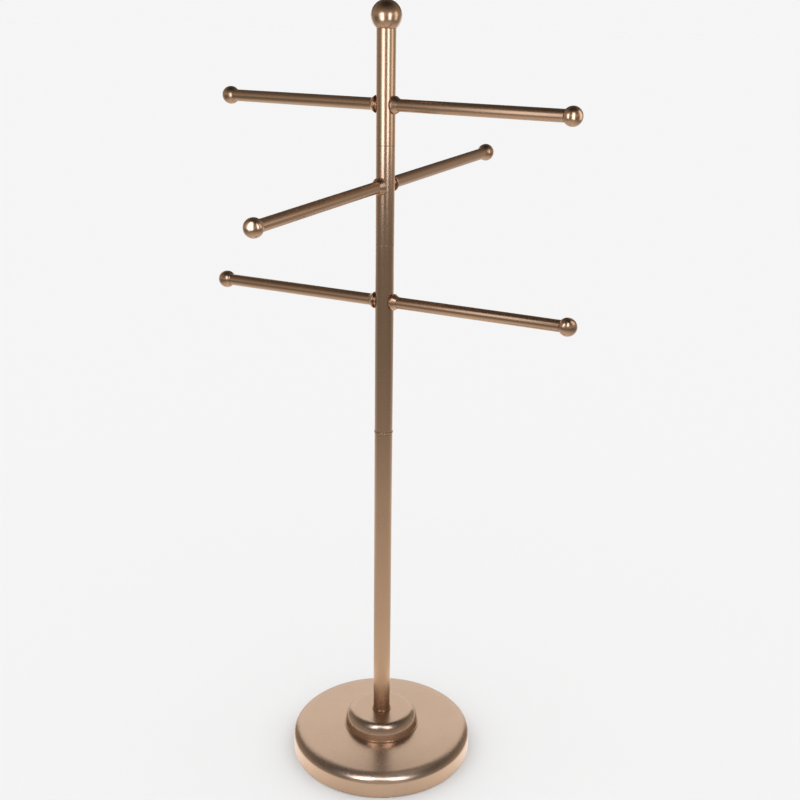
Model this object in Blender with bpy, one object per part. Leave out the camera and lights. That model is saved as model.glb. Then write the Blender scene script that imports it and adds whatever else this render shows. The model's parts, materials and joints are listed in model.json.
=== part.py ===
"""Free-standing display rack: a weighted round base, a post, and three tiers of opposed ball-ended arms.

Each tier is a tubular sleeve with two arms, and turns freely on a fixed core rod that stands in the
lower post. Metres, +Z up. The origin is on the floor, on the post's axis; +X runs along the top tier.
"""

import math

import bmesh
import bpy
from mathutils import Matrix, Vector

# Clearance between pieces that touch, and the facets round a turned piece.
GAP = 0.0003
POST_FACETS = 24
BASE_FACETS = 48
HUB_FACETS = 36
ARM_FACETS = 16
STUD_FACETS = 12

# Base: a cast disc on a soft pad, under a spun and domed cover.
BASE_R = 0.1504
BASE_WALL_TOP = 0.0248
BASE_SHOULDER_RUN = 0.0249
BASE_SHOULDER_RISE = 0.0124
DOME_EDGE_SLOPE = math.radians(5.2)
COVER_WALL = 0.0015
COVER_LIFT = 0.0012
PAD_R = 0.1440
PAD_THICKNESS = 0.0025
PAD_HOLE_R = 0.0250
WEIGHT_THICKNESS = 0.0080
WEIGHT_BOSS_R = 0.0300

# Hub: a tapered cap with a rolled shoulder, round the foot of the post.
HUB_RIM_R = 0.0632
HUB_RIM_HEIGHT = 0.0018
HUB_TAPER = math.radians(8)
HUB_SHOULDER_R = 0.0605
HUB_SHOULDER_RUN = 0.0171
HUB_SHOULDER_RISE = 0.0182
HUB_HEIGHT = 0.0268
HUB_SPACER_R = 0.0220

# Post: one outside diameter from the foot to the finial.
POST_R = 0.0139
POST_WALL = 0.0015
FOOT_RING_R = 0.0157
FOOT_RING_HEIGHT = 0.0026
JOINT_Z = 0.5754
JOINT_RING_R = 0.0147
JOINT_RING_HEIGHT = 0.0036
ROD_R = 0.0060
BORE_R = ROD_R + GAP
SPIGOT_R = 0.0115
SPIGOT_HEIGHT = 0.0200
JOINT_STUD_LENGTH = 0.0220
HEAD_PLUG_LENGTH = 0.0300
FINIAL_R = 0.0219
FINIAL_Z = 1.1929
ROD_IN_FINIAL = 0.0180

# Base bolt, an M12 hexagon bolt up through the base into the post.
BOLT_HEAD_R = 0.0110
BOLT_HEAD_HEIGHT = 0.0075
COUNTERBORE_R = 0.0165
COUNTERBORE_TOP = 0.0165
BOLT_TOP = 0.1150
BOLT_END_CLEARANCE = 0.0030
FOOT_PLUG_CAP = 0.0090
WASHER_R = 0.0140
WASHER_THICKNESS = 0.0016

# Tiers: name, height of the arms, direction of the first arm and its rise above level (the second arm is
# opposite, and drops as much), the two arms' names, and the sleeve's ends.
TIER_SPLIT_LOW = 0.8720
TIER_SPLIT_HIGH = 1.0160
SLEEVES_LOW_Z = JOINT_Z + JOINT_RING_HEIGHT / 2
FINIAL_SEAT_Z = FINIAL_Z - math.sqrt(FINIAL_R ** 2 - (POST_R + GAP / 3) ** 2)
MIDDLE_RISE = math.radians(4.15)
TIERS = (
    ("bottom", 0.7853, math.radians(5.3), 0.0, ("right", "left"), SLEEVES_LOW_Z, TIER_SPLIT_LOW),
    ("middle", 0.9592, math.radians(89.3), MIDDLE_RISE, ("rear", "front"), TIER_SPLIT_LOW, TIER_SPLIT_HIGH),
    ("top", 1.0728, math.radians(0.0), 0.0, ("right", "left"), TIER_SPLIT_HIGH, FINIAL_SEAT_Z),
)
BUSH_HEIGHT = 0.0120
BUSH_RECESS = 0.0012
BLOCK_HEIGHT = 0.0260

# Arms.
ARM_REACH = 0.2915
ARM_R = 0.00875
ARM_WALL = 0.00125
ARM_BALL_R = 0.0135
ARM_BALL_SPIGOT_LENGTH = 0.0110
COLLAR_NECK_R = 0.0090
COLLAR_R = 0.0127
COLLAR_FLANGE_START = 0.0154
COLLAR_FLANGE_END = 0.0168
COLLAR_END = 0.0232
COLLAR_SPIGOT_END = 0.0345
STUD_R = 0.0030
STUD_HOLE_R = STUD_R + GAP
STUD_START = 0.0082

POST_BORE_R = POST_R - POST_WALL
INSERT_R = POST_BORE_R - GAP
ARM_INSERT_R = ARM_R - ARM_WALL - GAP
SMOOTH_ANGLE = math.radians(35)
UPRIGHT = math.pi / 2


def clear_scene():
    for obj in list(bpy.data.objects):
        bpy.data.objects.remove(obj, do_unlink=True)


def make_material(name, colour, metallic, roughness):
    material = bpy.data.materials.new(name)
    material.use_nodes = True
    shader = material.node_tree.nodes["Principled BSDF"]
    shader.inputs["Base Color"].default_value = (*colour, 1)
    shader.inputs["Metallic"].default_value = metallic
    shader.inputs["Roughness"].default_value = roughness
    return material


FINISHES = {
    "bronze": ((0.50, 0.32, 0.21), 1.0, 0.30),
    "iron": ((0.06, 0.06, 0.065), 0.8, 0.70),
    "steel": ((0.50, 0.50, 0.51), 1.0, 0.35),
    "nylon": ((0.75, 0.74, 0.70), 0.0, 0.50),
    "pad": ((0.03, 0.028, 0.026), 0.0, 0.95),
}


def finish_object(name, mesh, finish, parent=None, turn=0.0):
    """Links the mesh as a named object with its own material, under the parent and turned about +Z."""
    mesh.polygons.foreach_set("use_smooth", [True] * len(mesh.polygons))
    mesh.set_sharp_from_angle(angle=SMOOTH_ANGLE)
    mesh.materials.append(make_material(name, *FINISHES[finish]))
    obj = bpy.data.objects.new(name, mesh)
    obj.parent = parent
    obj.rotation_euler.z = turn
    bpy.context.collection.objects.link(obj)
    return obj


def turned_mesh(name, outline, facets, along=None):
    """A solid of revolution, from a closed loop of (radius, height) points. `along` turns +Z to an axis."""
    shape = bmesh.new()
    points = [shape.verts.new((radius, 0, height)) for radius, height in outline]
    edges = [shape.edges.new((a, b)) for a, b in zip(points, points[1:] + points[:1])
             if max(a.co.x, b.co.x) > 0]
    bmesh.ops.spin(shape, geom=points + edges, cent=(0, 0, 0), axis=(0, 0, 1),
                   steps=facets, angle=2 * math.pi, use_merge=True)
    bmesh.ops.remove_doubles(shape, verts=shape.verts, dist=1e-7)
    bmesh.ops.recalc_face_normals(shape, faces=shape.faces)
    if along is not None:
        turn = Vector((0, 0, 1)).rotation_difference(Vector(along)).to_matrix()
        bmesh.ops.rotate(shape, verts=shape.verts, cent=(0, 0, 0), matrix=turn)
    mesh = bpy.data.meshes.new(name)
    shape.to_mesh(mesh)
    shape.free()
    return mesh


def arc(centre, radius, start, end, steps):
    """Points on a circle in the outline's plane, from one angle to another."""
    angles = [start + (end - start) * step / steps for step in range(steps + 1)]
    return [(centre[0] + radius * math.cos(a), centre[1] + radius * math.sin(a)) for a in angles]


def ring_outline(inner, outer, low, high):
    return [(inner, low), (outer, low), (outer, high), (inner, high)]


def make_ring(name, inner, outer, low, high, finish, parent=None, facets=POST_FACETS):
    mesh = turned_mesh(name, ring_outline(inner, outer, low, high), facets)
    return finish_object(name, mesh, finish, parent)


def make_helper(name, mesh, parent=None):
    """An object that only cuts or adds to another, and is never part of the rack itself."""
    helper = bpy.data.objects.new(name, mesh)
    helper.parent = parent
    helper.hide_render = True
    helper.display_type = "WIRE"
    bpy.context.collection.objects.link(helper)
    return helper


def apply_boolean(obj, helper, operation="DIFFERENCE"):
    modifier = obj.modifiers.new(operation.lower(), "BOOLEAN")
    modifier.operation = operation
    modifier.object = helper


def rolled_shoulder(outer_r, low, run, rise, start, end, steps, inset=0.0):
    """Points over an elliptical shoulder, or on a line parallel to it, between two tilts of its surface.

    The tilts are angles of the surface's normal above level. The shoulder is `run` deep and `rise` high.
    """
    points = []
    for step in range(steps + 1):
        tilt = start + (end - start) * step / steps
        along = math.atan2(rise * math.sin(tilt), run * math.cos(tilt))
        points.append((outer_r - run * (1 - math.cos(along)) - inset * math.cos(tilt),
                       low + rise * math.sin(along) - inset * math.sin(tilt)))
    return points


def base_shoulder(inset):
    return rolled_shoulder(BASE_R, BASE_WALL_TOP, BASE_SHOULDER_RUN, BASE_SHOULDER_RISE,
                           0.0, UPRIGHT - DOME_EDGE_SLOPE, 6, inset)


# The cover's shoulder ends where its slope meets the dome's, so the dome's radius follows.
DOME_EDGE_R, DOME_EDGE_Z = base_shoulder(0)[-1]
DOME_R = DOME_EDGE_R / math.sin(DOME_EDGE_SLOPE)
DOME_TOP = DOME_EDGE_Z + DOME_R * (1 - math.cos(DOME_EDGE_SLOPE))
DOME_CENTRE_Z = DOME_TOP - DOME_R


def dome_height(radius):
    return DOME_CENTRE_Z + math.sqrt(DOME_R ** 2 - radius ** 2)


def cover_outline(inset):
    """The base cover's outer line, or a line parallel to it, from the wall's foot to the centre hole."""
    hole_angle = math.asin((BORE_R + GAP) / DOME_R)
    dome = arc((0, DOME_CENTRE_Z), DOME_R - inset, UPRIGHT - DOME_EDGE_SLOPE, UPRIGHT - hole_angle, 4)
    return [(BASE_R - inset, COVER_LIFT)] + base_shoulder(inset) + dome[1:]


def build_base():
    make_ring("floor_pad", PAD_HOLE_R, PAD_R, 0, PAD_THICKNESS, "pad", facets=BASE_FACETS)

    bottom = PAD_THICKNESS + GAP
    top = bottom + WEIGHT_THICKNESS
    weight_r = BASE_R - COVER_WALL - 2 * GAP
    boss_top = dome_height(WEIGHT_BOSS_R) - COVER_WALL - 2 * GAP
    outline = [
        (COUNTERBORE_R, bottom), (weight_r, bottom), (weight_r, top), (WEIGHT_BOSS_R, top),
        (WEIGHT_BOSS_R, boss_top), (BORE_R, boss_top), (BORE_R, COUNTERBORE_TOP),
        (COUNTERBORE_R, COUNTERBORE_TOP),
    ]
    finish_object("base_weight", turned_mesh("base_weight", outline, BASE_FACETS), "iron")

    outline = cover_outline(0) + cover_outline(COVER_WALL)[::-1]
    finish_object("base_cover", turned_mesh("base_cover", outline, BASE_FACETS), "bronze")


def build_base_bolt():
    washer_low = COUNTERBORE_TOP - GAP - WASHER_THICKNESS
    make_ring("base_washer", BORE_R, WASHER_R, washer_low, COUNTERBORE_TOP - GAP, "steel")

    head_top = washer_low - GAP
    head = bmesh.new()
    bmesh.ops.create_cone(head, cap_ends=True, segments=6, radius1=BOLT_HEAD_R, radius2=BOLT_HEAD_R,
                          depth=BOLT_HEAD_HEIGHT,
                          matrix=Matrix.Translation((0, 0, head_top - BOLT_HEAD_HEIGHT / 2)))
    mesh = bpy.data.meshes.new("base_bolt")
    head.to_mesh(mesh)
    head.free()
    bolt = finish_object("base_bolt", mesh, "steel")
    shank_low = head_top - BOLT_HEAD_HEIGHT / 2
    outline = [(0, shank_low), (ROD_R, shank_low), (ROD_R, BOLT_TOP), (0, BOLT_TOP)]
    shank = make_helper("base_bolt_shank", turned_mesh("base_bolt_shank", outline, POST_FACETS))
    apply_boolean(bolt, shank, "UNION")


HUB_BOTTOM = dome_height(HUB_RIM_R) + GAP
HUB_TOP = HUB_BOTTOM + HUB_HEIGHT


def hub_outline(inset):
    """The hub's outer line, or a line inside it, from the rim up the tapered wall to the centre hole."""
    over = rolled_shoulder(HUB_SHOULDER_R, HUB_TOP - HUB_SHOULDER_RISE, HUB_SHOULDER_RUN, HUB_SHOULDER_RISE,
                           HUB_TAPER, UPRIGHT, 5, inset)
    hole = (BORE_R + GAP, HUB_TOP - inset)
    wall_r, wall_top = over[0]
    if inset:
        return [(wall_r + (wall_top - HUB_BOTTOM) * math.tan(HUB_TAPER), HUB_BOTTOM)] + over + [hole]
    bevel = HUB_RIM_HEIGHT / 3
    rim_high = HUB_BOTTOM + HUB_RIM_HEIGHT
    waist_r = wall_r + (wall_top - rim_high) * math.tan(HUB_TAPER)
    rim = [(HUB_RIM_R - bevel, HUB_BOTTOM), (HUB_RIM_R, HUB_BOTTOM + bevel),
           (HUB_RIM_R, rim_high - bevel), (waist_r, rim_high)]
    return rim + over + [hole]


def build_hub():
    outline = hub_outline(0) + hub_outline(COVER_WALL)[::-1]
    finish_object("hub_cover", turned_mesh("hub_cover", outline, HUB_FACETS), "bronze")
    make_ring("hub_spacer", BORE_R + GAP, HUB_SPACER_R, DOME_TOP + GAP, HUB_TOP - COVER_WALL - GAP, "steel")
    low = HUB_TOP + GAP
    high = low + FOOT_RING_HEIGHT
    bevel = FOOT_RING_HEIGHT / 3
    outline = [(POST_R + GAP, low), (FOOT_RING_R - bevel / 2, low), (FOOT_RING_R, low + bevel),
               (FOOT_RING_R, high - bevel), (FOOT_RING_R - bevel / 2, high), (POST_R + GAP, high)]
    finish_object("foot_ring", turned_mesh("foot_ring", outline, POST_FACETS), "bronze")


def build_post():
    low = HUB_TOP + GAP
    ring_low = JOINT_Z - JOINT_RING_HEIGHT / 2
    ring_high = JOINT_Z + JOINT_RING_HEIGHT / 2
    make_ring("lower_post", POST_BORE_R, POST_R, low, ring_low - GAP, "bronze")

    cap_low = BOLT_TOP + BOLT_END_CLEARANCE
    cap_high = cap_low + FOOT_PLUG_CAP
    outline = [(BORE_R, low), (INSERT_R, low), (INSERT_R, cap_high), (0, cap_high), (0, cap_low),
               (BORE_R, cap_low)]
    finish_object("lower_post_foot_plug", turned_mesh("lower_post_foot_plug", outline, POST_FACETS), "steel")
    make_ring("lower_post_head_plug", BORE_R, INSERT_R, ring_low - HEAD_PLUG_LENGTH, ring_low - GAP, "steel")

    # The joint ring, with a threaded stud down into the lower post and a spigot up into the bottom sleeve.
    bevel = JOINT_RING_HEIGHT / 3
    spigot_top = ring_high + SPIGOT_HEIGHT
    stud_low = ring_low - JOINT_STUD_LENGTH
    outline = [
        (0, stud_low), (ROD_R, stud_low), (ROD_R, ring_low),
        (JOINT_RING_R - bevel / 2, ring_low), (JOINT_RING_R, ring_low + bevel),
        (JOINT_RING_R, ring_high - bevel), (JOINT_RING_R - bevel / 2, ring_high),
        (SPIGOT_R, ring_high), (SPIGOT_R, spigot_top), (BORE_R, spigot_top), (BORE_R, ring_high),
        (0, ring_high),
    ]
    finish_object("joint_ring", turned_mesh("joint_ring", outline, POST_FACETS), "bronze")

    rod_low = ring_high + GAP
    rod_high = FINIAL_SEAT_Z + ROD_IN_FINIAL
    outline = [(0, rod_low), (ROD_R, rod_low), (ROD_R, rod_high), (0, rod_high)]
    finish_object("core_rod", turned_mesh("core_rod", outline, POST_FACETS), "steel")

    seat_angle = math.acos((FINIAL_SEAT_Z - FINIAL_Z) / FINIAL_R) - UPRIGHT
    sphere = arc((0, FINIAL_Z), FINIAL_R, -seat_angle, UPRIGHT, 9)
    sphere[-1] = (0, FINIAL_Z + FINIAL_R)
    hole_top = rod_high + GAP
    outline = [(BORE_R, FINIAL_SEAT_Z)] + sphere + [(0, hole_top), (BORE_R, hole_top)]
    finish_object("finial_ball", turned_mesh("finial_ball", outline, POST_FACETS), "bronze")


def collar_mesh():
    """A neck against the sleeve, a flange, a cone down to the tube, and the spigot the tube slides over."""
    outline = [
        (STUD_HOLE_R, POST_R / 3), (COLLAR_NECK_R, POST_R / 3), (COLLAR_NECK_R, COLLAR_FLANGE_START),
        (COLLAR_R, COLLAR_FLANGE_START), (COLLAR_R, COLLAR_FLANGE_END), (ARM_R, COLLAR_END),
        (ARM_INSERT_R, COLLAR_END), (ARM_INSERT_R, COLLAR_SPIGOT_END), (STUD_HOLE_R, COLLAR_SPIGOT_END),
    ]
    return turned_mesh("collar", outline, ARM_FACETS, along=(1, 0, 0))


def arm_ball_mesh():
    seat = math.sqrt(ARM_BALL_R ** 2 - (ARM_R + GAP / 3) ** 2)
    seat_angle = math.asin(seat / ARM_BALL_R)
    sphere = arc((0, ARM_REACH), ARM_BALL_R, -seat_angle, UPRIGHT, 7)
    sphere[-1] = (0, ARM_REACH + ARM_BALL_R)
    spigot_start = ARM_REACH - seat - ARM_BALL_SPIGOT_LENGTH
    outline = [(0, spigot_start), (ARM_INSERT_R, spigot_start), (ARM_INSERT_R, ARM_REACH - seat)] + sphere
    return turned_mesh("arm_ball", outline, ARM_FACETS, along=(1, 0, 0))


def build_arm(tier, side, axis, turn, saddle_cutter):
    """One arm, out along the axis empty's X turned about its Z: collar, stud, tube and ball."""
    name = f"{tier}_{side}"
    collar = finish_object(f"{name}_collar", collar_mesh(), "bronze", axis, turn)
    apply_boolean(collar, saddle_cutter)
    stud_end = COLLAR_SPIGOT_END - GAP
    outline = [(0, STUD_START), (STUD_R, STUD_START), (STUD_R, stud_end), (0, stud_end)]
    mesh = turned_mesh("stud", outline, STUD_FACETS, along=(1, 0, 0))
    finish_object(f"{name}_stud", mesh, "steel", axis, turn)
    tube_end = ARM_REACH - math.sqrt(ARM_BALL_R ** 2 - (ARM_R + GAP / 3) ** 2) - GAP
    outline = ring_outline(ARM_R - ARM_WALL, ARM_R, COLLAR_END + GAP, tube_end)
    mesh = turned_mesh("arm_tube", outline, ARM_FACETS, along=(1, 0, 0))
    finish_object(f"{name}_arm_tube", mesh, "bronze", axis, turn)
    finish_object(f"{name}_arm_ball", arm_ball_mesh(), "bronze", axis, turn)


def make_empty(name):
    empty = bpy.data.objects.new(name, None)
    bpy.context.collection.objects.link(empty)
    return empty


def build_tier(tier, height, azimuth, rise, sides, sleeve_low, sleeve_high, lift):
    """A sleeve that turns on the core rod, its two bushes, the block the arms screw into, and two arms."""
    pivot = make_empty(f"{tier}_pivot")
    pivot.location = (0, 0, height)
    pivot.rotation_euler.z = azimuth
    axis = make_empty(f"{tier}_arm_axis")
    axis.parent = pivot
    axis.rotation_euler.y = -rise
    low = sleeve_low - height + GAP / 2
    high = sleeve_high - height - GAP / 2

    reach = 2 * POST_R
    rod = [(0, -reach), (STUD_HOLE_R, -reach), (STUD_HOLE_R, reach), (0, reach)]
    mesh = turned_mesh("stud_hole", rod, STUD_FACETS, along=(1, 0, 0))
    hole_cutter = make_helper(f"{tier}_stud_hole", mesh, axis)
    saddle_r = POST_R + GAP
    rod = [(0, -reach), (saddle_r, -reach), (saddle_r, reach), (0, reach)]
    saddle_cutter = make_helper(f"{tier}_saddle", turned_mesh("saddle", rod, 2 * POST_FACETS), pivot)

    sleeve = make_ring(f"{tier}_sleeve", POST_BORE_R, POST_R, low, high, "bronze", pivot)
    half = BLOCK_HEIGHT / 2
    block = make_ring(f"{tier}_arm_block", BORE_R, INSERT_R, -half, half, "steel", pivot)
    apply_boolean(sleeve, hole_cutter)
    apply_boolean(block, hole_cutter)
    bush_low = low + lift + BUSH_RECESS
    bush_high = high - BUSH_RECESS
    make_ring(f"{tier}_lower_bush", BORE_R, INSERT_R, bush_low, bush_low + BUSH_HEIGHT, "nylon", pivot)
    make_ring(f"{tier}_upper_bush", BORE_R, INSERT_R, bush_high - BUSH_HEIGHT, bush_high, "nylon", pivot)
    for side, turn in zip(sides, (0, math.pi)):
        build_arm(tier, side, axis, turn, saddle_cutter)


def build_tiers():
    for tier, height, azimuth, rise, sides, sleeve_low, sleeve_high in TIERS:
        lift = SPIGOT_HEIGHT if tier == "bottom" else 0
        build_tier(tier, height, azimuth, rise, sides, sleeve_low, sleeve_high, lift)


def build_thrust_washers():
    """Nylon rings that each tier's bushes run on, out of sight inside the sleeves' ends."""
    spigot_top = JOINT_Z + JOINT_RING_HEIGHT / 2 + SPIGOT_HEIGHT
    bush_clear = BUSH_RECESS - GAP / 2
    stations = (
        ("joint_thrust_washer", spigot_top + GAP, spigot_top + GAP / 2 + BUSH_RECESS - GAP),
        ("lower_thrust_washer", TIER_SPLIT_LOW - bush_clear, TIER_SPLIT_LOW + bush_clear),
        ("upper_thrust_washer", TIER_SPLIT_HIGH - bush_clear, TIER_SPLIT_HIGH + bush_clear),
        ("finial_thrust_washer", FINIAL_SEAT_Z - bush_clear, FINIAL_SEAT_Z - GAP),
    )
    for name, low, high in stations:
        make_ring(name, BORE_R, SPIGOT_R, low, high, "nylon")


clear_scene()
build_base()
build_base_bolt()
build_hub()
build_post()
build_tiers()
build_thrust_washers()
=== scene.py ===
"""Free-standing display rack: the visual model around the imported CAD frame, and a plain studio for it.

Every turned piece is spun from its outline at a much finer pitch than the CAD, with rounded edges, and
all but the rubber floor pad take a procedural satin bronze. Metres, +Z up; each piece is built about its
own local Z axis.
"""

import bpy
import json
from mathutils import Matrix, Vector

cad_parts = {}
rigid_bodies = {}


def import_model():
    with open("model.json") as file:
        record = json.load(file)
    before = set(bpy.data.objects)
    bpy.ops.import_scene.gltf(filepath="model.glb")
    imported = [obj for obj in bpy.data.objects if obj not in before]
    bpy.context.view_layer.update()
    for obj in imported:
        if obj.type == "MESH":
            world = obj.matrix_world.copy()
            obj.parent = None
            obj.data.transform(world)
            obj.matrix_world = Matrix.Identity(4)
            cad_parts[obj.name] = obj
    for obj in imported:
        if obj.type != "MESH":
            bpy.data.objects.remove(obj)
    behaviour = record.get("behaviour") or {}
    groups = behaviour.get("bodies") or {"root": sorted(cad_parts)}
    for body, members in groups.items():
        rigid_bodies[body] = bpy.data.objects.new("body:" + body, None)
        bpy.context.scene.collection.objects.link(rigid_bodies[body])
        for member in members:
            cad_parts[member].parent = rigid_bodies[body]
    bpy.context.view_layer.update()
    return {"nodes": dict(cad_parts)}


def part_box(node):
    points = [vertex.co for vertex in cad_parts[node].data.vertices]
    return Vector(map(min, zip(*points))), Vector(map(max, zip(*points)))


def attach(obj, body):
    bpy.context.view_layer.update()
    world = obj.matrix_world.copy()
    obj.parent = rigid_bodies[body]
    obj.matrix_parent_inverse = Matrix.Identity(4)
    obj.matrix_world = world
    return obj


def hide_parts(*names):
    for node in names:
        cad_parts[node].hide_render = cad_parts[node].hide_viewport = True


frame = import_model()

import json
import math

import bmesh
import bpy
from mathutils import Matrix, Vector

UP = Vector((0, 0, 1))
NODES = frame["nodes"]
BODY_OF = {name: obj.parent.name.split(":", 1)[1] for name, obj in NODES.items()}

# Facets round each kind of piece, and steps along each kind of curve in an outline.
BASE_FACETS = 224
POST_FACETS = 96
ARM_FACETS = 72
BALL_STEPS = 40
DOME_STEPS = 36
SHOULDER_STEPS = 24
FILLET_STEPS = 6

# A ring this close to each end of a long span keeps the smooth shading off the flat.
SUPPORT = 0.0004
LONG_SPAN = 0.0030
# Edges rounded to this radius or less count as fully worn, and inner corners as tight take the full painted
# shade.
FULL_WEAR_AND_SHADE_RADIUS = 0.0006
# The least step along an outline, and the least distance from the axis, that anything is divided by.
SHORTEST_STEP = 1e-6
AXIS_RADIUS = 0.0001
# Vertices this close in height lie on one face.
SAME_HEIGHT = 1e-5
# Balls are a hair inside the CAD's, whose facets touch its box only at their poles.
BALL_SHARE = 0.9970
# Faces that meet at more than this are shaded as an edge.
SMOOTH_ANGLE = math.radians(40)
UPRIGHT = math.pi / 2


# Outlines: closed loops of (radius, height).

def arc(centre, radius, start, end, steps):
    """Points on a circle in the outline's plane, from one angle to another."""
    angles = [start + (end - start) * step / steps for step in range(steps + 1)]
    return [(centre[0] + radius * math.cos(a), centre[1] + radius * math.sin(a)) for a in angles]


def filleted(corners):
    """A closed outline from (radius, height, fillet) corners, each fillet an arc tangent to both sides."""
    outline = []
    for index, (radius, height, fillet) in enumerate(corners):
        here = Vector((radius, height))
        if not fillet:
            outline.append((radius, height))
            continue
        before = (Vector(corners[index - 1][:2]) - here).normalized()
        after = (Vector(corners[(index + 1) % len(corners)][:2]) - here).normalized()
        half = before.angle(after) / 2
        centre = here + (before + after).normalized() * fillet / math.sin(half)
        reach = fillet / math.tan(half)
        start = here + before * reach - centre
        end = here + after * reach - centre
        sweep = start.angle(end)
        for step in range(FILLET_STEPS + 1):
            share = step / FILLET_STEPS
            spoke = start * math.sin((1 - share) * sweep) + end * math.sin(share * sweep)
            outline.append(tuple(centre + spoke / math.sin(sweep)))
    return outline


def sharp(points):
    """Outline points as corners with no fillet, to mix with filleted ones."""
    return [(radius, height, 0) for radius, height in points]


def ring(inner, outer, low, high, fillet):
    """A tube or washer's outline, its inner edges rounded half as much as its outer ones."""
    return filleted([
        (inner, low, fillet / 2), (outer, low, fillet),
        (outer, high, fillet), (inner, high, fillet / 2),
    ])


def capped_ball(centre, radius, seat_angle):
    """A ball's outline from where it seats up to its pole, a hair smaller than `radius`."""
    sphere = arc((0, centre), radius * BALL_SHARE, seat_angle, UPRIGHT, BALL_STEPS)
    sphere[-1] = (0, sphere[-1][1])
    return sphere


def supported(outline):
    """The outline with an extra point close to each end of every long span."""
    result = []
    for start, end in zip(outline, outline[1:] + outline[:1]):
        result.append(start)
        span = math.dist(start, end)
        if span > LONG_SPAN and max(start[0], end[0]) > 0:
            for share in (SUPPORT / span, 1 - SUPPORT / span):
                result.append(tuple(a + (b - a) * share for a, b in zip(start, end)))
    return result


def wear_and_shade_along(outline):
    """How exposed each outline point is, from 1 on a sharp outer edge to -1 in a sharp inner corner.
    Positive values drive the worn edges, negative ones the painted shade in inner corners.
    """
    area = sum(a[0] * b[1] - b[0] * a[1] for a, b in zip(outline, outline[1:] + outline[:1]))
    turn_sign = 1 if area > 0 else -1
    values = []
    for index, here in enumerate(outline):
        before = outline[index - 1]
        after = outline[(index + 1) % len(outline)]
        if here[0] == 0:
            values.append(0.0)
            continue
        first = math.atan2(here[1] - before[1], here[0] - before[0])
        second = math.atan2(after[1] - here[1], after[0] - here[0])
        turn = math.remainder(second - first, 2 * math.pi) * turn_sign
        step = (math.dist(before, here) + math.dist(here, after)) / 2
        curvature = turn / max(step, SHORTEST_STEP)
        values.append(max(-1.0, min(1.0, curvature * FULL_WEAR_AND_SHADE_RADIUS)))
    return values


# Meshes.

def turned(name, outline, facets, saddle=None):
    """A solid of revolution about local Z, which carries its own coordinates and its wear and painted-shade
    mask.

    `saddle` makes its low end follow a sleeve that crosses it: (sleeve radius, height where that
    has died away, sine of the slope of local Z).
    """
    outline = supported(outline)
    wear = wear_and_shade_along(outline)
    shape = bmesh.new()
    wear_and_shade_layer = shape.verts.layers.float.new("wear")
    spun_layer = shape.verts.layers.float_vector.new("spun")
    rings = []
    for (radius, height), wear_and_shade_here in zip(outline, wear):
        circle = []
        for step in range(facets if radius > 0 else 1):
            angle = 2 * math.pi * step / facets
            x = radius * math.cos(angle)
            y = radius * math.sin(angle)
            z = height
            if saddle:
                sleeve_radius, plain_height, slope = saddle
                fade = max(0.0, min(1.0, (plain_height - height) / (plain_height - sleeve_radius)))
                surface = math.sqrt(sleeve_radius ** 2 - x ** 2) + y * slope
                z += (surface / math.sqrt(1 - slope ** 2) - sleeve_radius) * fade
            vertex = shape.verts.new((x, y, z))
            vertex[wear_and_shade_layer] = wear_and_shade_here
            vertex[spun_layer] = vertex.co
            circle.append(vertex)
        rings.append(circle)
    for lower, upper in zip(rings, rings[1:] + rings[:1]):
        if len(lower) == 1 and len(upper) == 1:
            continue
        for step in range(facets):
            corners = []
            for circle, index in ((lower, step), (lower, step + 1), (upper, step + 1), (upper, step)):
                vertex = circle[index % len(circle)]
                if vertex not in corners:
                    corners.append(vertex)
            shape.faces.new(corners)
    bmesh.ops.recalc_face_normals(shape, faces=shape.faces)
    mesh = bpy.data.meshes.new(name)
    shape.to_mesh(mesh)
    shape.free()
    mesh.polygons.foreach_set("use_smooth", [True] * len(mesh.polygons))
    mesh.set_sharp_from_angle(angle=SMOOTH_ANGLE)
    return mesh


def place(mesh, node, material, matrix=None):
    """Links the mesh as the finer stand-in for a CAD node, on that node's body."""
    if matrix is not None:
        mesh.transform(matrix)
    piece = bpy.data.objects.new("fine_" + node, mesh)
    bpy.context.collection.objects.link(piece)
    mesh.materials.append(material)
    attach(piece, BODY_OF[node])
    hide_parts(node)
    return piece


def drilled(mesh, matrix, cutter):
    """The mesh with a cutter's shape removed from it."""
    body = bpy.data.objects.new("drilled", mesh)
    bpy.context.collection.objects.link(body)
    body.matrix_world = matrix
    modifier = body.modifiers.new("drill", "BOOLEAN")
    modifier.object = cutter
    bpy.context.view_layer.update()
    result = bpy.data.meshes.new_from_object(body.evaluated_get(bpy.context.evaluated_depsgraph_get()))
    result.name = mesh.name
    bpy.data.objects.remove(body)
    result.set_sharp_from_angle(angle=SMOOTH_ANGLE)
    return result


# Materials.

# The part of a noise texture's range that it mostly stays in.
NOISE_MIDDLE = (0.3, 0.7)


def feed(tree, socket, value):
    """Gives an input socket a number or colour, or a link from another node's output socket."""
    if isinstance(value, bpy.types.NodeSocket):
        tree.links.new(value, socket)
    else:
        socket.default_value = value


def put(tree, kind, inputs=(), **settings):
    """A new shader node, with values or links for the input sockets that `inputs` names."""
    made = tree.nodes.new(kind)
    for key, value in settings.items():
        setattr(made, key, value)
    for key, value in dict(inputs).items():
        feed(tree, made.inputs[key], value)
    return made


def maths(tree, operation, first, second=0.0, third=0.0):
    """The result of a maths node."""
    made = put(tree, "ShaderNodeMath", {0: first, 1: second, 2: third}, operation=operation)
    return made.outputs[0]


def added(tree, first, second):
    return maths(tree, "ADD", first, second)


def times(tree, first, second):
    return maths(tree, "MULTIPLY", first, second)


def attribute(tree, name, output):
    """A mesh attribute, read from the named output of its node."""
    return put(tree, "ShaderNodeAttribute", attribute_name=name).outputs[output]


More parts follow.
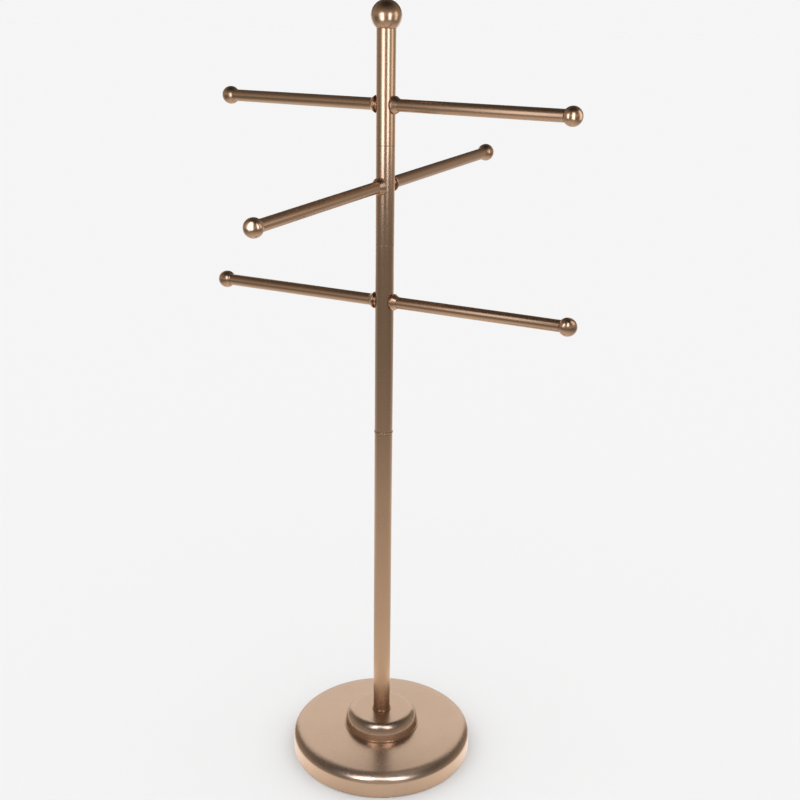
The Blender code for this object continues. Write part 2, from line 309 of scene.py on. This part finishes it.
def spread(tree, value, low, high, to_low, to_high):
    """Maps a value's range to another, held at its ends."""
    made = put(tree, "ShaderNodeMapRange", {
        "Value": value, "From Min": low, "From Max": high, "To Min": to_low, "To Max": to_high,
    })
    return made.outputs["Result"]


def varied(tree, texture, to_low, to_high):
    """Stretches the middle of a noise texture's range over another."""
    return spread(tree, texture, *NOISE_MIDDLE, to_low, to_high)


def mixed(tree, factor, first, second, blend="MIX"):
    """The colour between two, or blended from them. A mix node's colour sockets have no unique names."""
    made = tree.nodes.new("ShaderNodeMix")
    made.data_type = "RGBA"
    made.blend_type = blend
    feed(tree, made.inputs[0], factor)
    feed(tree, made.inputs[6], first)
    feed(tree, made.inputs[7], second)
    return made.outputs[2]


def noise(tree, vector, scale, detail=2.0, roughness=0.5):
    """A noise texture with `scale` cells for each unit of its coordinates."""
    made = put(tree, "ShaderNodeTexNoise", {
        "Vector": vector, "Scale": scale, "Detail": detail, "Roughness": roughness,
    })
    return made.outputs["Fac"]


def new_material(name):
    """A material, its node tree and its shader."""
    material = bpy.data.materials.new(name)
    material.use_nodes = True
    tree = material.node_tree
    return material, tree, tree.nodes["Principled BSDF"]


def turned_coordinates(tree, around, along):
    """A turned piece's own coordinates, and those for the marks on it.

    The marks have `around` cells per radius round the piece and `along` per metre of its outline.
    """
    spun = attribute(tree, "spun", "Vector")
    x, y, z = put(tree, "ShaderNodeSeparateXYZ", {0: spun}).outputs
    radius = maths(tree, "SQRT", maths(tree, "MULTIPLY_ADD", x, x, times(tree, y, y)))
    safe = maths(tree, "MAXIMUM", radius, AXIS_RADIUS)
    made = put(tree, "ShaderNodeCombineXYZ", {
        0: times(tree, maths(tree, "DIVIDE", x, safe), around),
        1: times(tree, maths(tree, "DIVIDE", y, safe), around),
        2: times(tree, added(tree, radius, z), along),
    })
    return spun, made.outputs[0]


BRONZE = (0.610, 0.392, 0.248)
BRONZE_PALE = (0.592, 0.416, 0.292)
BRONZE_WORN = (0.72, 0.52, 0.38, 1)
# Painted shade: the dark colour laid into sharp inner corners.
BRONZE_CORNER_SHADE = (0.16, 0.100, 0.060, 1)
# Cells per metre of the slow drift in tone and of the smudges.
DRIFT_SCALE = 14.0
SMUDGE_SCALE = 60.0
# How far the drift and the marks darken the plate, and the shade they darken it to.
DRIFT_TONE = 0.7
MARK_TONE = 0.1
PLATE_SHADE = 0.92
# Wear on outer edges and painted shade in inner corners begin to show where the outline bends this much.
# Smudges thin the wear over a range of theirs, down to a share of it. The sharpest inner corner holds this
# much painted shade.
WEAR_AND_SHADE_START = 0.25
RUBBED_RANGE = (0.35, 0.65)
RUBBED_SHARE = 0.25
CORNER_SHADE_SHARE = 0.8
# How far each moves the roughness.
MARK_ROUGHNESS = 0.002
SMUDGE_ROUGHNESS = (-0.004, 0.005)
WORN_ROUGHNESS = -0.05
SMUDGE_HEIGHT = 0.25
BUMP_DEPTH = 0.0001


def toned(colour, share):
    """The colour at that share of its brightness, opaque."""
    return (*(part * share for part in colour), 1)


def satin_bronze(name, plate, roughness, around, along, grain):
    """Brushed bronze plate: fine marks round the piece, slow colour drift, brighter worn edges, and painted
    shade in inner corners.
    """
    material, tree, shader = new_material(name)
    spun, marks_at = turned_coordinates(tree, around, along)
    marks = noise(tree, marks_at, 1.0, detail=3.0, roughness=0.65)
    drift = noise(tree, spun, DRIFT_SCALE, detail=3.0, roughness=0.55)
    smudges = noise(tree, spun, SMUDGE_SCALE, detail=4.0, roughness=0.6)
    wear = attribute(tree, "wear", "Fac")
    rubbed = spread(tree, smudges, *RUBBED_RANGE, RUBBED_SHARE, 1.0)
    exposed = times(tree, spread(tree, wear, WEAR_AND_SHADE_START, 1.0, 0.0, 1.0), rubbed)
    # Painted shade mask: how far each inner corner is darkened.
    corner_shade = spread(tree, wear, -WEAR_AND_SHADE_START, -1.0, 0.0, CORNER_SHADE_SHARE)

    tone = added(tree, varied(tree, drift, 0.0, DRIFT_TONE), varied(tree, marks, 0.0, MARK_TONE))
    colour = mixed(tree, tone, toned(plate, 1.0), toned(plate, PLATE_SHADE))
    colour = mixed(tree, exposed, colour, BRONZE_WORN)
    # Painted shade darkens the inner corners.
    colour = mixed(tree, corner_shade, colour, BRONZE_CORNER_SHADE)
    tree.links.new(colour, shader.inputs["Base Color"])
    shader.inputs["Metallic"].default_value = 1.0

    rough = added(tree, roughness, varied(tree, marks, -MARK_ROUGHNESS, MARK_ROUGHNESS))
    rough = added(tree, rough, varied(tree, smudges, *SMUDGE_ROUGHNESS))
    rough = maths(tree, "MULTIPLY_ADD", exposed, WORN_ROUGHNESS, rough)
    tree.links.new(rough, shader.inputs["Roughness"])

    height = maths(tree, "MULTIPLY_ADD", smudges, SMUDGE_HEIGHT, marks)
    bump = put(tree, "ShaderNodeBump", {"Strength": grain, "Distance": BUMP_DEPTH, "Height": height})
    tree.links.new(bump.outputs[0], shader.inputs["Normal"])
    return material


# How far the texture of plain stock moves its roughness either way, and how much coarser its tone is.
STOCK_ROUGHNESS = 0.08
STOCK_TONE_CELLS = 12


def plain_stock(name, first, second, metallic, roughness, scale, bump_strength, bump_distance):
    """Cast, moulded or machined stock: two tones, uneven roughness and a fine texture."""
    material, tree, shader = new_material(name)
    at = put(tree, "ShaderNodeTexCoord").outputs["Object"]
    grain = noise(tree, at, scale, detail=6.0, roughness=0.6)
    tone = noise(tree, at, scale / STOCK_TONE_CELLS)
    colour = mixed(tree, varied(tree, tone, 0.0, 1.0), (*first, 1), (*second, 1))
    rough = varied(tree, grain, roughness - STOCK_ROUGHNESS, roughness + STOCK_ROUGHNESS)
    bump = put(tree, "ShaderNodeBump", {
        "Strength": bump_strength, "Distance": bump_distance, "Height": grain,
    })
    tree.links.new(colour, shader.inputs["Base Color"])
    shader.inputs["Metallic"].default_value = metallic
    tree.links.new(rough, shader.inputs["Roughness"])
    tree.links.new(bump.outputs[0], shader.inputs["Normal"])
    return material


SPUN = satin_bronze("bronze_spun", BRONZE_PALE, roughness=0.27, around=1.5, along=2600.0, grain=0.005)
DRAWN = satin_bronze("bronze_tube", BRONZE, roughness=0.27, around=1.5, along=2200.0, grain=0.002)
TURNED = satin_bronze("bronze_turned", BRONZE, roughness=0.25, around=1.0, along=3000.0, grain=0.002)
IRON = plain_stock(
    "cast_iron", (0.055, 0.053, 0.055), (0.085, 0.075, 0.068),
    metallic=0.75, roughness=0.66, scale=420.0, bump_strength=0.5, bump_distance=0.0004)
STEEL = plain_stock(
    "zinc_steel", (0.50, 0.50, 0.51), (0.60, 0.59, 0.56),
    metallic=1.0, roughness=0.36, scale=900.0, bump_strength=0.2, bump_distance=0.0001)
NYLON = plain_stock(
    "nylon", (0.75, 0.74, 0.70), (0.69, 0.68, 0.63),
    metallic=0.0, roughness=0.50, scale=700.0, bump_strength=0.15, bump_distance=0.0001)
RUBBER = plain_stock(
    "pad_rubber", (0.030, 0.028, 0.026), (0.045, 0.042, 0.038),
    metallic=0.0, roughness=0.84, scale=900.0, bump_strength=0.6, bump_distance=0.0003)


# The stand: pad, base, hub, lower post and its rings, and the finial.

BASE_SHOULDER_RUN = 0.0249
BASE_SHOULDER_RISE = 0.0124
BASE_WALL_TOP = 0.0248
SHELL_WALL = 0.0015
PAD_FILLET = 0.0006
COVER_FOOT_FILLET = 0.0007
# Touching pieces are this far apart, and plain edges are rounded this much.
GAP = 0.0003
EDGE_FILLET = 0.0003

cover_low, cover_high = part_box("base_cover")
base_radius = cover_high.x


def bore_of(node):
    """The radius of the hole through a ring or tube about the rack's axis."""
    return min(vertex.co.xy.length for vertex in NODES[node].data.vertices)


def bore_at(node, height):
    """The radius of the hole in a node's face at that height."""
    return min(vertex.co.xy.length for vertex in NODES[node].data.vertices
               if abs(vertex.co.z - height) < SAME_HEIGHT)


def build_ring(node, facets, fillet, material):
    """A ring or tube as its CAD node has it, with rounded edges."""
    low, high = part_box(node)
    outline = ring(bore_of(node), high.x, low.z, high.z, fillet)
    place(turned(node, outline, facets), node, material)


def rolled_shoulder(outer_r, low, run, rise, start, end, inset):
    """Points over an elliptical shoulder, or on a line parallel to it, between two tilts of its surface.

    The tilts are angles of the surface's normal above level. The shoulder is `run` deep and `rise` high.
    """
    points = []
    for step in range(SHOULDER_STEPS + 1):
        tilt = start + (end - start) * step / SHOULDER_STEPS
        along = math.atan2(rise * math.sin(tilt), run * math.cos(tilt))
        points.append((
            outer_r - run * (1 - math.cos(along)) - inset * math.cos(tilt),
            low + rise * math.sin(along) - inset * math.sin(tilt),
        ))
    return points


def base_shoulder(slope, inset):
    """The base's rounded shoulder, or a line parallel to it, up to where the dome of that slope begins."""
    return rolled_shoulder(base_radius, BASE_WALL_TOP, BASE_SHOULDER_RUN, BASE_SHOULDER_RISE,
                           0.0, UPRIGHT - slope, inset)


# The dome's slope at its edge is found by halving this range of angles so many times.
DOME_SLOPES = (0.01, 0.5)
DOME_HALVINGS = 60


def dome():
    """The dome's (radius, centre height, edge slope), tangent to the shoulder and as high as the CAD's."""
    bore = bore_of("base_cover")
    low, high = DOME_SLOPES
    for _ in range(DOME_HALVINGS):
        slope = (low + high) / 2
        edge_r, edge_z = base_shoulder(slope, 0)[-1]
        radius = edge_r / math.sin(slope)
        centre = edge_z - radius * math.cos(slope)
        if centre + math.sqrt(radius ** 2 - bore ** 2) > cover_high.z:
            high = slope
        else:
            low = slope
    return radius, centre, slope


DOME_R, DOME_CENTRE, DOME_SLOPE = dome()


def base_line(inset):
    """The base cover's outer line, or one parallel to it, from the top of the wall to the centre hole."""
    bore_angle = math.asin(bore_of("base_cover") / DOME_R)
    top = arc((0, DOME_CENTRE), DOME_R - inset, UPRIGHT - DOME_SLOPE, UPRIGHT - bore_angle, DOME_STEPS)
    return base_shoulder(DOME_SLOPE, inset) + top[1:]


def build_base():
    """The floor pad, and the hollow cover with its near-upright wall, rounded shoulder and shallow dome."""
    build_ring("floor_pad", BASE_FACETS, PAD_FILLET, RUBBER)
    foot = [
        (base_radius - SHELL_WALL, cover_low.z, EDGE_FILLET),
        (base_radius, cover_low.z, COVER_FOOT_FILLET),
    ]
    outline = filleted(foot + sharp(base_line(0)) + sharp(base_line(SHELL_WALL)[::-1]))
    place(turned("base_cover", outline, BASE_FACETS), "base_cover", SPUN)


# The hub's side leans in by its taper, from the waist above its rim up to an elliptical shoulder.
HUB_TAPER = math.radians(8)
HUB_SHOULDER_R = 0.0605
HUB_SHOULDER_RUN = 0.0171
HUB_SHOULDER_RISE = 0.0182
HUB_RIM_HEIGHT = 0.0018
HUB_RIM_FILLETS = (0.0006, 0.0005)
HUB_WAIST_FILLET = 0.0001
FOOT_RING_FILLET = 0.0009


def build_hub():
    """The hub's hollow cap on the base, and the ring round the post's foot on top of it."""
    low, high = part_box("hub_cover")
    bore = bore_of("hub_cover")
    outer, inner = [
        rolled_shoulder(HUB_SHOULDER_R, high.z - HUB_SHOULDER_RISE, HUB_SHOULDER_RUN, HUB_SHOULDER_RISE,
                        HUB_TAPER, UPRIGHT, inset)
        for inset in (0.0, SHELL_WALL)
    ]
    rim_high = low.z + HUB_RIM_HEIGHT
    waist_r = outer[0][0] + (outer[0][1] - rim_high) * math.tan(HUB_TAPER)
    skirt_r = inner[0][0] + (inner[0][1] - low.z) * math.tan(HUB_TAPER)
    rim = [
        (skirt_r, low.z, 0), (high.x, low.z, HUB_RIM_FILLETS[0]),
        (high.x, rim_high, HUB_RIM_FILLETS[1]), (waist_r, rim_high, HUB_WAIST_FILLET),
    ]
    hole = [(bore, high.z, 0), (bore, high.z - SHELL_WALL, 0)]
    outline = filleted(rim + sharp(outer) + hole + sharp(inner[::-1]))
    place(turned("hub_cover", outline, BASE_FACETS), "hub_cover", SPUN)
    build_ring("foot_ring", POST_FACETS, FOOT_RING_FILLET, TURNED)


# The bead ring: the stud below it, the bead itself, and the spigot above with its hole for the rod.
BEAD_HALF_HEIGHT = 0.0018
BEAD_FILLET = 0.0013
BEAD_STUD_R = 0.0060
BEAD_STUD_FILLET = 0.0006
BEAD_SPIGOT_R = 0.0115
BEAD_SPIGOT_FILLET = 0.0005
BEAD_BORE_R = 0.0063
FINIAL_R = 0.0219


def build_bead():
    """The bead ring between the lower post and the bottom tier."""
    low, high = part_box("joint_ring")
    bead_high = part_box("bottom_sleeve")[0].z - GAP / 2
    bead_low = bead_high - 2 * BEAD_HALF_HEIGHT
    outline = filleted([
        (0, low.z, 0), (BEAD_STUD_R, low.z, BEAD_STUD_FILLET), (BEAD_STUD_R, bead_low, 0),
        (high.x, bead_low, BEAD_FILLET), (high.x, bead_high, BEAD_FILLET),
        (BEAD_SPIGOT_R, bead_high, 0), (BEAD_SPIGOT_R, high.z, BEAD_SPIGOT_FILLET),
        (BEAD_BORE_R, high.z, 0), (BEAD_BORE_R, bead_high, 0), (0, bead_high, 0),
    ])
    place(turned("joint_ring", outline, POST_FACETS), "joint_ring", TURNED)


def build_finial():
    """The ball on top of the post, bored for the end of the core rod."""
    low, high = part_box("finial_ball")
    centre = high.z - FINIAL_R
    bore = bore_at("finial_ball", low.z)
    ball = capped_ball(centre, FINIAL_R, math.asin((low.z - centre) / FINIAL_R))
    hole_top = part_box("core_rod")[1].z + GAP
    outline = [(bore, low.z)] + ball + [(0, hole_top), (bore, hole_top)]
    place(turned("finial_ball", outline, POST_FACETS), "finial_ball", TURNED)


def build_post():
    """The lower post and the two pieces that hold the tiers on the core rod."""
    build_ring("lower_post", POST_FACETS, EDGE_FILLET, DRAWN)
    build_bead()
    build_finial()


# The tiers.

ARM_BALL_R = 0.0135
# The ball's seat is this much wider than the tube's end.
BALL_SEAT_LIP = 0.0001
COLLAR_NECK_R = 0.0090
# The collar's flange starts and ends this far along the arm from the post's axis.
COLLAR_FLANGE_START = 0.0154
COLLAR_FLANGE_END = 0.0168
COLLAR_FLANGE_FILLETS = (0.0005, 0.0012)
COLLAR_INNER_FILLET = 0.0002
COLLAR_SPIGOT_FILLET = 0.0004
STUD_HOLE_R = 0.0033
TUBE_WALL = 0.00125
TUBE_FILLET = 0.0002
# What the collar and the ball each push into the tube.
INSERT_R = 0.0072
# Each tier and its two opposed arms.
TIERS = (("bottom", ("right", "left")), ("middle", ("rear", "front")), ("top", ("right", "left")))


def arm_matrix(first, second):
    """Local Z from the post's axis out along the first of two opposed arms, and local X level."""
    ends = [(low + high) / 2 for low, high in (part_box(arm + "_arm_tube") for arm in (first, second))]
    direction = (ends[0] - ends[1]).normalized()
    side = UP.cross(direction).normalized()
    matrix = Matrix((side, direction.cross(side), direction)).transposed().to_4x4()
    matrix.translation = (0, 0, (ends[0].z + ends[1].z) / 2)
    return matrix


def measured(node, matrix):
    """A CAD node's nearest and farthest points along local Z, and its greatest radius about it."""
    to_local = matrix.inverted()
    points = [to_local @ vertex.co for vertex in NODES[node].data.vertices]
    return min(p.z for p in points), max(p.z for p in points), max(p.xy.length for p in points)


def build_arm(arm, matrix):
    """An arm's tube, its ball, and its collar with a neck, a flange, a cone and a spigot."""
    tube_start, tube_end, tube_r = measured(arm + "_arm_tube", matrix)
    outline = ring(tube_r - TUBE_WALL, tube_r, tube_start, tube_end, TUBE_FILLET)
    place(turned("arm_tube", outline, ARM_FACETS), arm + "_arm_tube", DRAWN, matrix)

    insert_start, reach, _ = measured(arm + "_arm_ball", matrix)
    seat_angle = -math.acos((tube_r + BALL_SEAT_LIP) / ARM_BALL_R)
    ball = capped_ball(reach - ARM_BALL_R, ARM_BALL_R, seat_angle)
    outline = [(0, insert_start), (INSERT_R, insert_start), (INSERT_R, ball[0][1])] + ball
    place(turned("arm_ball", outline, ARM_FACETS), arm + "_arm_ball", TURNED, matrix)

    _, spigot_end, flange_r = measured(arm + "_collar", matrix)
    cone_end = tube_start - GAP
    sleeve_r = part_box(arm.split("_")[0] + "_sleeve")[1].x + GAP
    outline = filleted([
        (STUD_HOLE_R, sleeve_r, 0),
        (COLLAR_NECK_R, sleeve_r, COLLAR_INNER_FILLET),
        (COLLAR_NECK_R, COLLAR_FLANGE_START, EDGE_FILLET),
        (flange_r, COLLAR_FLANGE_START, COLLAR_FLANGE_FILLETS[0]),
        (flange_r, COLLAR_FLANGE_END, COLLAR_FLANGE_FILLETS[1]),
        (tube_r, cone_end, EDGE_FILLET),
        (INSERT_R, cone_end, COLLAR_INNER_FILLET),
        (INSERT_R, spigot_end, COLLAR_SPIGOT_FILLET),
        (STUD_HOLE_R, spigot_end, 0),
    ])
    saddle = (sleeve_r, COLLAR_FLANGE_START, matrix.col[2].z)
    place(turned("collar", outline, ARM_FACETS, saddle), arm + "_collar", TURNED, matrix)


def build_sleeve(tier, matrix):
    """The sleeve, drilled for the two arms' studs."""
    name = tier + "_sleeve"
    low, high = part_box(name)
    outline = ring(bore_of(name), high.x, low.z, high.z, EDGE_FILLET)
    reach = 2 * high.x
    rod = [(0, -reach), (STUD_HOLE_R, -reach), (STUD_HOLE_R, reach), (0, reach)]
    drill = bpy.data.objects.new("drill", turned("drill", rod, ARM_FACETS))
    bpy.context.collection.objects.link(drill)
    drill.matrix_world = matrix
    mesh = drilled(turned(name, outline, POST_FACETS), Matrix.Identity(4), drill)
    bpy.data.objects.remove(drill)
    place(mesh, name, DRAWN)


def build_tiers():
    """Each tier's two opposed arms and the sleeve between them."""
    for tier, sides in TIERS:
        arms = [f"{tier}_{side}" for side in sides]
        for arm, opposite in (arms, arms[::-1]):
            matrix = arm_matrix(arm, opposite)
            build_arm(arm, matrix)
        build_sleeve(tier, matrix)


def finish_inner_nodes():
    """The CAD nodes that stay keep their shape and take the procedural stock of their slot."""
    for name, obj in NODES.items():
        if obj.hide_render:
            continue
        if name == "base_weight":
            material, slot = IRON, "cast_iron"
        elif name.endswith("bush") or "thrust_washer" in name:
            material, slot = NYLON, "nylon"
        else:
            material, slot = STEEL, "steel"
        if not obj.material_slots:
            obj.data.materials.append(material)
        for material_slot in obj.material_slots:
            material_slot.material = material


# The studio: a camera at the photograph's angle, a pale floor, soft light.

CAMERA_AZIMUTH = math.radians(34.074)
CAMERA_DISTANCE = 1.6385
CAMERA_HEIGHT = 1.1943
CAMERA_PITCH = math.radians(19.080)
CAMERA_YAW = math.radians(0.884)
CAMERA_ROLL = math.radians(0.702)
CAMERA_LENS = 50.155
CAMERA_SIGHT = 200


def around(azimuth, distance, height):
    """A point at an azimuth from the camera's, counted towards the camera's right, round the post."""
    angle = CAMERA_AZIMUTH + azimuth
    return Vector((math.sin(angle) * distance, -math.cos(angle) * distance, height))


def build_camera():
    """A camera level with the finial, looking down at the rack and rolled a little."""
    camera = bpy.data.cameras.new("camera")
    camera.lens = CAMERA_LENS
    camera.clip_end = CAMERA_SIGHT
    obj = bpy.data.objects.new("camera", camera)
    bpy.context.collection.objects.link(obj)
    turn = Matrix.Rotation(CAMERA_AZIMUTH - CAMERA_YAW, 4, "Z")
    tilt = Matrix.Rotation(UPRIGHT - CAMERA_PITCH, 4, "X")
    roll = Matrix.Rotation(CAMERA_ROLL, 4, "Z")
    stand_at = Matrix.Translation(around(0, CAMERA_DISTANCE, CAMERA_HEIGHT))
    obj.matrix_world = stand_at @ turn @ tilt @ roll
    bpy.context.scene.camera = obj


def lit_only(name, objects):
    """A light-linking group: lights given it shine on these objects alone."""
    group = bpy.data.collections.new(name)
    for obj in objects:
        group.objects.link(obj)
    return group


WHITE = (1, 1, 1)
STRIP_BLUE = (0.76, 0.84, 1.0)
SCREEN_WHITE = (0.97, 0.98, 1.0)


def softbox(name, azimuth, distance, low, high, width, radiance, receivers, colour=WHITE, aim=None):
    """A rectangular light facing the post, out of the camera's sight.

    It stands at an azimuth in degrees, from `low` to `high`, and is `radiance` bright. It is turned
    towards the height `aim` on the post, or is upright.
    """
    middle = (low + high) / 2
    light = bpy.data.lights.new(name, "AREA")
    light.shape = "RECTANGLE"
    light.size = width
    light.size_y = high - low
    light.energy = radiance * math.pi * light.size * light.size_y
    light.color = colour
    obj = bpy.data.objects.new(name, light)
    bpy.context.collection.objects.link(obj)
    obj.location = around(math.radians(azimuth), distance, middle)
    target = Vector((0, 0, middle if aim is None else aim))
    obj.rotation_euler = (obj.location - target).to_track_quat("Z", "Y").to_euler()
    obj.visible_camera = False
    obj.light_linking.receiver_collection = receivers


FLOOR_HALF_SIZE = 90
FLOOR_ALBEDO = 0.88
FLOOR_ROUGHNESS = 0.9
# The floor as the metal sees it, a painted pool of light bright round the post and dark far off:
# (distance from the post in metres, tone), and its warm tint.
FLOOR_LIGHT_POOL = (
    (0.0, 0.96), (0.17, 0.94), (0.35, 0.75), (0.70, 0.62), (1.2, 0.42), (1.7, 0.27), (2.4, 0.17),
)
FLOOR_TINT = (1.0, 0.985, 0.965)
# Extra brightness of the floor as the metal sees it, close in all round but the front, and far behind.
# `facing` is the cosine of the angle from the camera's side, and each pair is a range it fades over.
NEAR_GLOW = 0.55
NEAR_FACING = (0.3, 0.95)
NEAR_DISTANCE = (0.17, 0.26)
REAR_GLOW = 0.35
REAR_FACING = (-0.7, 0.0)
REAR_DISTANCE = (0.5, 1.0)


def painted_floor_light(tree, distance):
    """The floor's painted pool of light in the metal, darker by distance from the post."""
    farthest = FLOOR_LIGHT_POOL[-1][0]
    ramp = put(tree, "ShaderNodeValToRGB", {0: maths(tree, "DIVIDE", distance, farthest)})
    stops = ramp.color_ramp.elements
    for index, (reach, tone) in enumerate(FLOOR_LIGHT_POOL):
        if index < len(stops):
            stop = stops[index]
            stop.position = reach / farthest
        else:
            stop = stops.new(reach / farthest)
        stop.color = toned(FLOOR_TINT, tone)
    return ramp.outputs[0]


def floor_glow(tree, at, distance):
    """The floor's extra brightness in the metal, by distance from the post and by side."""
    toward = put(tree, "ShaderNodeVectorMath", {0: at, 1: around(0, 1, 0)}, operation="DOT_PRODUCT")
    facing = maths(tree, "DIVIDE", toward.outputs["Value"], distance)
    near = times(tree, spread(tree, facing, *NEAR_FACING, NEAR_GLOW, 0.0),
                 spread(tree, distance, *NEAR_DISTANCE, 1.0, 0.0))
    rear = times(tree, spread(tree, facing, *REAR_FACING, REAR_GLOW, 0.0),
                 spread(tree, distance, *REAR_DISTANCE, 0.0, 1.0))
    return added(tree, near, rear)


def build_floor():
    """A floor that is plain to the camera, and in the metal has a painted pool of light and its own glow.
    """
    shape = bmesh.new()
    bmesh.ops.create_grid(shape, x_segments=1, y_segments=1, size=FLOOR_HALF_SIZE)
    mesh = bpy.data.meshes.new("floor")
    shape.to_mesh(mesh)
    shape.free()
    floor = bpy.data.objects.new("floor", mesh)
    bpy.context.collection.objects.link(floor)
    material, tree, shader = new_material("pale_floor")
    shader.inputs["Roughness"].default_value = FLOOR_ROUGHNESS
    shader.inputs["Specular IOR Level"].default_value = 0.0
    at = put(tree, "ShaderNodeTexCoord").outputs["Object"]
    distance = put(tree, "ShaderNodeVectorMath", {0: at}, operation="LENGTH").outputs["Value"]
    reflected = put(tree, "ShaderNodeLightPath").outputs["Is Glossy Ray"]
    # In reflections the floor shows the painted pool of light rather than its plain white.
    colour = mixed(tree, reflected, toned(WHITE, FLOOR_ALBEDO), painted_floor_light(tree, distance))
    glow = times(tree, reflected, floor_glow(tree, at, distance))
    tree.links.new(colour, shader.inputs["Base Color"])
    shader.inputs["Emission Color"].default_value = (1, 1, 1, 1)
    tree.links.new(glow, shader.inputs["Emission Strength"])
    mesh.materials.append(material)


SKY_TONE = 1.04
ROOM_TINT = (1.0, 0.90, 0.82, 1)
# The room's tone behind the rack and in front of it. It changes over this range of the cosine of the
# angle from the camera's side.
ROOM_TONES = (0.07, 0.42)
ROOM_FACING = (-0.95, -0.50)
# The room darkens to this share of its tone between these heights of the direction looked in.
ROOM_TOP_SHARE = 0.03
ROOM_RISE = (0.2, 0.95)


def build_world():
    """Even pale light for the floor, and for the metal a dim warm room, darker above and behind."""
    world = bpy.data.worlds.new("studio")
    bpy.context.scene.world = world
    world.use_nodes = True
    tree = world.node_tree
    background = tree.nodes["Background"]
    direction = put(tree, "ShaderNodeTexCoord").outputs["Generated"]
    rise = put(tree, "ShaderNodeSeparateXYZ", {0: direction}).outputs[2]
    front = put(tree, "ShaderNodeVectorMath", {0: direction, 1: around(0, 1, 0)}, operation="DOT_PRODUCT")
    level = spread(tree, front.outputs["Value"], *ROOM_FACING, *ROOM_TONES)
    tone = times(tree, level, spread(tree, rise, *ROOM_RISE, 1.0, ROOM_TOP_SHARE))
    grey = put(tree, "ShaderNodeCombineColor", {0: tone, 1: tone, 2: tone}).outputs[0]
    room = mixed(tree, 1.0, grey, ROOM_TINT, "MULTIPLY")
    path = put(tree, "ShaderNodeLightPath")
    seen = mixed(tree, path.outputs["Is Camera Ray"],
                 toned(WHITE, SKY_TONE), toned(WHITE, SKY_TONE * FLOOR_ALBEDO))
    colour = mixed(tree, path.outputs["Is Glossy Ray"], seen, room)
    tree.links.new(colour, background.inputs["Color"])


# Softboxes: (name, azimuth in degrees, distance, low, high, width, radiance, colour).
NEAR_LIGHTS = (
    ("_strip_left", -31, 0.44, 0.90, 1.32, 0.17, 4.4, STRIP_BLUE),
    ("_edge_left", -48, 0.50, 0.92, 1.32, 0.14, 1.1, STRIP_BLUE),
    ("_strip_right", 26, 0.50, 0.92, 1.33, 0.15, 4.4, STRIP_BLUE),
    ("_fill_right", 76, 0.60, 0.92, 1.40, 0.26, 1.2, WHITE),
)
BACK_LIGHTS = (
    ("_back_left", 150, 1.4, 0.50, 1.40, 0.60, 0.7, WHITE),
    ("_back_right", -155, 1.4, 0.50, 1.40, 0.60, 0.7, WHITE),
)
# The arm tubes get this much of the near lights.
ARM_SHARE = 0.35
# Strips for the hub and the base: (name, azimuth, distance, width), at a radiance for each.
FOOT_STRIPS = (("_strip_left", -34, 0.50, 0.24), ("_strip_right", 30, 0.56, 0.22))
FOOT_STRIP_SPAN = (0.85, 1.50)
HUB_RADIANCE = 6.0
BASE_RADIANCE = 8.8
# The foot's other lights: (azimuth, distance, low, high, width, radiance).
BASE_FRONT = (0, 1.5, 0.30, 2.00, 2.20, 0.26)
BASE_SKY = (150, 0.62, 1.70, 2.30, 0.90, 0.34)
SCREEN = (180, 2.0, 0.05, 2.60, 3.0, 0.94)
# The height that the lights for the foot are turned towards.
FOOT_AIM = 0.05


def pieces_lit(name, pieces, *endings):
    """A light-linking group of the pieces whose names end so, and the pieces left over."""
    chosen = [obj for obj in pieces if obj.name.endswith(endings)]
    return lit_only(name, chosen), [obj for obj in pieces if obj not in chosen]


def build_lights():
    """Close strips, edges and fills, and two lights behind, on each group of pieces in turn.

    The post, the finial, the balls and the collars share one set, and the arm tubes have it dimmer.
    The hub and the base have a pair of strips each. The base has a wide front and an overhead light
    besides, and both have a screen behind. The lower post takes the room's light alone.
    """
    pieces = [obj for obj in bpy.context.scene.objects
              if obj.type == "MESH" and not obj.hide_render and obj.name != "floor"]
    foot_lit, _ = pieces_lit("foot_pieces", pieces, "base_cover", "hub_cover", "foot_ring")
    base_lit, pieces = pieces_lit("base_pieces", pieces, "base_cover")
    hub_lit, pieces = pieces_lit("hub_pieces", pieces, "hub_cover", "foot_ring")
    tubes_lit, pieces = pieces_lit("arm_tubes", pieces, "arm_tube")
    upper_lit = lit_only("upper_pieces", [obj for obj in pieces if not obj.name.endswith("lower_post")])
    for name, receivers, share in (("post", upper_lit, 1.0), ("arm", tubes_lit, ARM_SHARE)):
        for part, azimuth, distance, low, high, width, radiance, colour in NEAR_LIGHTS:
            softbox(name + part, azimuth, distance, low, high, width, radiance * share, receivers, colour)
        for part, azimuth, distance, low, high, width, radiance, colour in BACK_LIGHTS:
            softbox(name + part, azimuth, distance, low, high, width, radiance, receivers, colour)
    for name, receivers, radiance in (("hub", hub_lit, HUB_RADIANCE), ("base", base_lit, BASE_RADIANCE)):
        for part, azimuth, distance, width in FOOT_STRIPS:
            softbox(name + part, azimuth, distance, *FOOT_STRIP_SPAN, width, radiance, receivers,
                    STRIP_BLUE, FOOT_AIM)
    softbox("base_front", *BASE_FRONT, base_lit)
    softbox("base_sky", *BASE_SKY, base_lit, aim=FOOT_AIM)
    softbox("screen", *SCREEN, foot_lit, SCREEN_WHITE)


build_camera()
build_base()
build_hub()
build_post()
build_tiers()
finish_inner_nodes()
build_floor()
build_world()
build_lights()
bpy.context.scene.view_settings.view_transform = "Standard"
